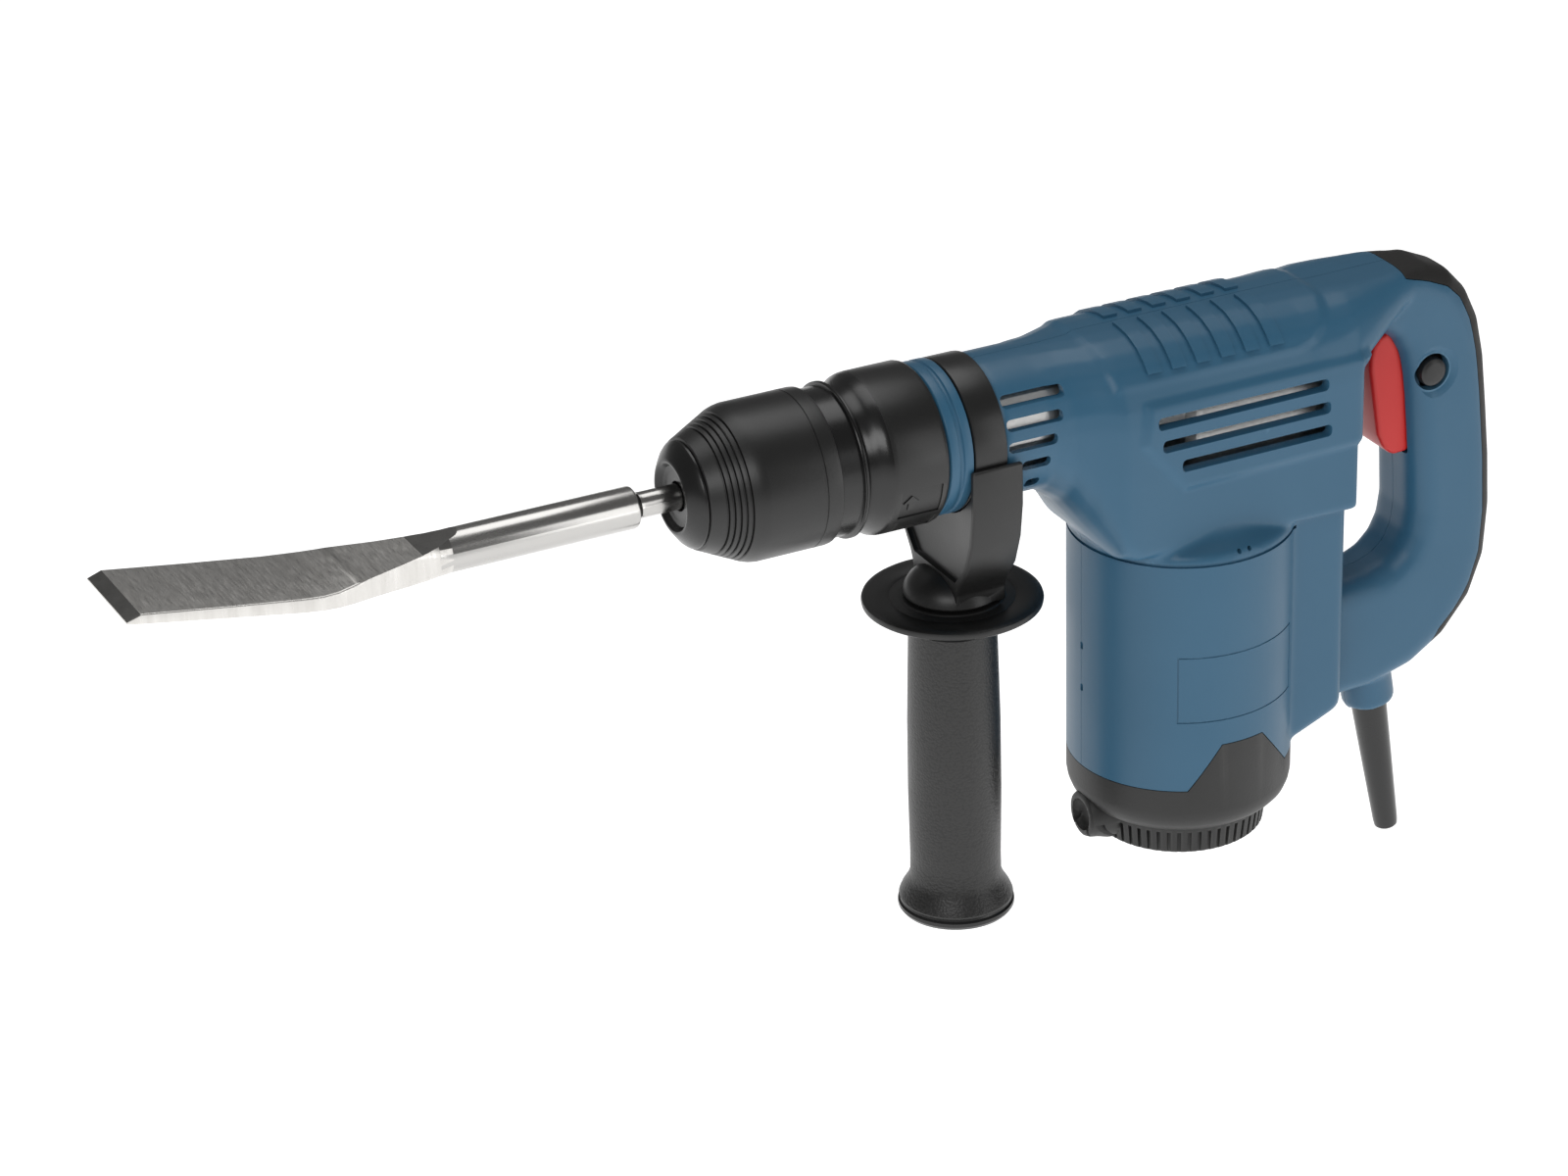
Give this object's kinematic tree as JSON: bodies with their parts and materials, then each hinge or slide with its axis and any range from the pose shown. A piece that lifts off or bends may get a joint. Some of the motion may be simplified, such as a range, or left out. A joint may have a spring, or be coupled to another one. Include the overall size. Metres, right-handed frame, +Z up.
{
  "type": "corded rotary hammer",
  "caption": "Corded hammer with a quick-release chuck, a bent wide chisel, an upright motor, a clamped side handle and a D-shaped rear handle with a trigger.",
  "frame": {"origin": "centre of the overall box at its lowest point", "axes": "+X runs along the hammer axis towards the rear handle, +Z is up along the motor, +Y is the tool's right-hand side seen from behind"},
  "size_m": [0.567, 0.088, 0.2523],
  "materials": {
    "blue_plastic": "matt moulded, fine spark texture",
    "black_plastic": "satin moulded",
    "black_rubber": "matt soft rubber",
    "red_plastic": "satin",
    "tool_steel": "ground along its length",
    "machine_steel": "turned",
    "cast_alloy": "cast, bead blasted",
    "laminated_iron": "stacked sheets",
    "copper_wire": "lacquered",
    "brass_holder": "pressed",
    "carbon": "pressed carbon",
    "white_plastic": "moulded"
  },
  "bodies": {
    "housing": {"housing_left": "blue_plastic", "housing_right": "blue_plastic", "front_collar": "blue_plastic", "motor_cap": "black_plastic", "soft_grip": "black_rubber", "cord_guard": "black_rubber", "cord_clamp": "black_plastic", "switch_body": "black_plastic", "capacitor": "white_plastic", "stator_core": "laminated_iron", "field_coil_left": "copper_wire", "field_coil_right": "copper_wire", "brush_holder_left": "brass_holder", "brush_holder_right": "brass_holder", "brush_left": "carbon", "brush_right": "carbon", "lower_bearing": "machine_steel", "upper_bearing": "machine_steel", "gear_plate": "cast_alloy", "gear_case": "cast_alloy", "hammer_cylinder": "machine_steel", "holder_bearing": "machine_steel", "shaft_seal": "black_rubber", "trigger_pin": "machine_steel", "housing_screw_1": "machine_steel", "housing_screw_2": "machine_steel", "housing_screw_3": "machine_steel", "housing_screw_4": "machine_steel", "housing_screw_5": "machine_steel"},
    "tool_holder": {"tool_holder": "machine_steel", "adjustment_ring": "black_plastic", "spring_cover": "black_plastic", "dust_cap": "black_rubber", "locking_ball": "machine_steel", "sleeve_spring": "machine_steel"},
    "locking_sleeve": {"locking_sleeve": "black_plastic", "lock_ring": "machine_steel"},
    "chisel": {"chisel": "tool_steel"},
    "side_handle": {"clamp_band": "black_plastic", "handle_bracket": "black_plastic"},
    "side_grip": {"side_grip": "black_plastic", "clamp_stud": "machine_steel"},
    "trigger": {"trigger": "red_plastic"},
    "lock_button": {"lock_button": "black_plastic"},
    "armature": {"armature_shaft": "machine_steel", "armature_core": "laminated_iron", "winding_upper": "copper_wire", "winding_lower": "copper_wire", "commutator": "copper_wire", "cooling_fan": "black_plastic"},
    "crank": {"crank_gear": "machine_steel"},
    "con_rod": {"con_rod": "machine_steel", "wrist_pin": "machine_steel"},
    "piston": {"piston": "cast_alloy", "piston_o_ring": "black_rubber"},
    "ram": {"ram": "machine_steel", "ram_o_ring": "black_rubber"},
    "striker": {"striker_pin": "machine_steel"}
  },
  "joints": [
    {"name": "holder_turn", "type": "hinge", "parent": "housing", "child": "tool_holder", "pos_m": [0, 0, 0.2215], "axis": [1, 0, 0], "continuous": true},
    {"name": "sleeve_pull", "type": "slide", "parent": "tool_holder", "child": "locking_sleeve", "axis": [1, 0, 0], "range_m": [0, 0.008], "stiffness_N_per_m": 900, "springref_m": -0.004},
    {"name": "chisel_play", "type": "slide", "parent": "tool_holder", "child": "chisel", "axis": [-1, 0, 0], "range_m": [0, 0.008]},
    {"name": "side_handle_turn", "type": "hinge", "parent": "housing", "child": "side_handle", "pos_m": [0.0462, 0, 0.2215], "axis": [1, 0, 0], "continuous": true},
    {"name": "side_grip_screw", "type": "hinge", "parent": "side_handle", "child": "side_grip", "pos_m": [0.0462, 0, 0.12], "axis": [0, 0, -1], "range_deg": [0, 540]},
    {"name": "trigger_squeeze", "type": "hinge", "parent": "housing", "child": "trigger", "pos_m": [0.2397, 0, 0.222], "axis": [0, -1, 0], "range_deg": [0, 5], "stiffness_Nm_per_rad": 4, "springref_deg": -5.73},
    {"name": "lock_press", "type": "slide", "parent": "housing", "child": "lock_button", "axis": [0, 1, 0], "range_m": [0, 0.002], "stiffness_N_per_m": 600, "springref_m": -0.002},
    {"name": "armature_spin", "type": "hinge", "parent": "housing", "child": "armature", "pos_m": [0.1462, 0, 0.1], "axis": [0, 0, 1], "continuous": true},
    {"name": "crank_spin", "type": "hinge", "parent": "housing", "child": "crank", "pos_m": [0.1704, 0, 0.2], "axis": [0, 0, 1], "continuous": true},
    {"name": "con_rod_swing", "type": "hinge", "parent": "crank", "child": "con_rod", "pos_m": [0.1654, 0, 0.2215], "axis": [0, 0, 1], "continuous": true},
    {"name": "piston_stroke", "type": "slide", "parent": "housing", "child": "piston", "axis": [1, 0, 0], "range_m": [0, 0.01]},
    {"name": "ram_flight", "type": "slide", "parent": "housing", "child": "ram", "axis": [1, 0, 0], "range_m": [-0.008, 0.01]},
    {"name": "striker_play", "type": "slide", "parent": "housing", "child": "striker", "axis": [1, 0, 0], "range_m": [0, 0.004]}
  ],
  "couplings": [
    {"joint": "crank_spin", "follows": "armature_spin", "ratio": -0.2},
    {"joint": "con_rod_swing", "follows": "armature_spin", "ratio": 0.2}
  ]
}
